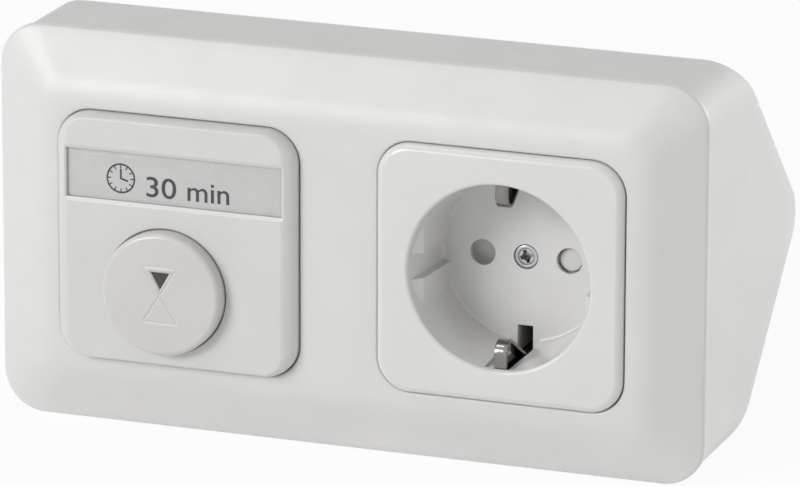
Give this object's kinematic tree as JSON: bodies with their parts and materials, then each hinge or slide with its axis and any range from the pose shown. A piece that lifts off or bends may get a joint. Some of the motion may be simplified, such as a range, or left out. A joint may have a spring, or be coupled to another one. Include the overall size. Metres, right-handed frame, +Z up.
{
  "type": "corner-mounted timer switch with socket outlet",
  "caption": "Surface corner box with a convex frame holding an electronic timer push switch with label window beside an earthed, shuttered socket outlet.",
  "frame": {"origin": "middle of the room corner's line, where the planes of the two 45 degree back faces meet", "axes": "+X to the right as seen from the front, +Y into the corner (the front faces -Y), +Z up"},
  "size_m": [0.156, 0.076, 0.085],
  "materials": {
    "white_plastic": "satin",
    "grommet_rubber": "matte",
    "clear_plastic": "gloss",
    "label_paper": "matte",
    "smoked_plastic": "gloss",
    "spring_steel": "satin",
    "zinc_plated_steel": "satin",
    "nickel_plated_strap": "polished",
    "inner_plastic": "matte",
    "insert_plastic": "matte",
    "circuit_laminate": "satin",
    "black_plastic": "matte",
    "red_lens": "gloss",
    "relay_plastic": "satin",
    "film_case": "satin",
    "capacitor_can": "satin",
    "varistor_lacquer": "satin",
    "brass": "satin",
    "brown_insulation": "satin",
    "blue_insulation": "satin"
  },
  "bodies": {
    "case": {"corner_box": "white_plastic", "front_frame": "white_plastic", "timer_cover": "white_plastic", "socket_cover": "white_plastic", "cable_grommet": "grommet_rubber", "label_window": "clear_plastic", "label_card": "label_paper", "button_return_spring": "spring_steel", "shutter_spring": "spring_steel", "timer_support_ring": "zinc_plated_steel", "timer_ring_screws": "zinc_plated_steel", "timer_terminal_screws": "zinc_plated_steel", "socket_centre_screw": "zinc_plated_steel", "socket_support_ring": "zinc_plated_steel", "socket_ring_screws": "zinc_plated_steel", "socket_terminal_screws": "zinc_plated_steel", "earth_strap": "nickel_plated_strap", "timer_carrier_plate": "inner_plastic", "timer_housing": "inner_plastic", "socket_insert": "insert_plastic", "timer_circuit_board": "circuit_laminate", "tact_switch": "black_plastic", "timer_chip": "black_plastic", "timer_terminal_block": "black_plastic", "indicator_led": "red_lens", "timer_relay": "relay_plastic", "film_capacitor": "film_case", "electrolytic_capacitor": "capacitor_can", "surge_varistor": "varistor_lacquer", "timer_terminal_clamps": "brass", "line_contact": "brass", "neutral_contact": "brass", "line_link_wire": "brown_insulation", "neutral_link_wire": "blue_insulation"},
    "button": {"timer_button": "white_plastic", "button_lens": "smoked_plastic"},
    "plunger": {"tact_plunger": "black_plastic"},
    "shutter": {"socket_shutter": "white_plastic"}
  },
  "joints": [
    {"name": "button_press", "type": "slide", "parent": "case", "child": "button", "axis": [0, 1, 0], "range_m": [0, 0.0013], "stiffness_N_per_m": 900, "springref_m": -0.001, "deforming": ["button_return_spring"]},
    {"name": "plunger_press", "type": "slide", "parent": "case", "child": "plunger", "axis": [0, 1, 0], "range_m": [0, 0.0013]},
    {"name": "shutter_turn", "type": "hinge", "parent": "case", "child": "shutter", "pos_m": [0.0355, -0.0537, 0], "axis": [0, -1, 0], "range_deg": [0, 38], "stiffness_Nm_per_rad": 0.004, "springref_deg": -11.46, "deforming": ["shutter_spring"]}
  ],
  "couplings": [
    {"joint": "plunger_press", "follows": "button_press", "ratio": 1}
  ]
}
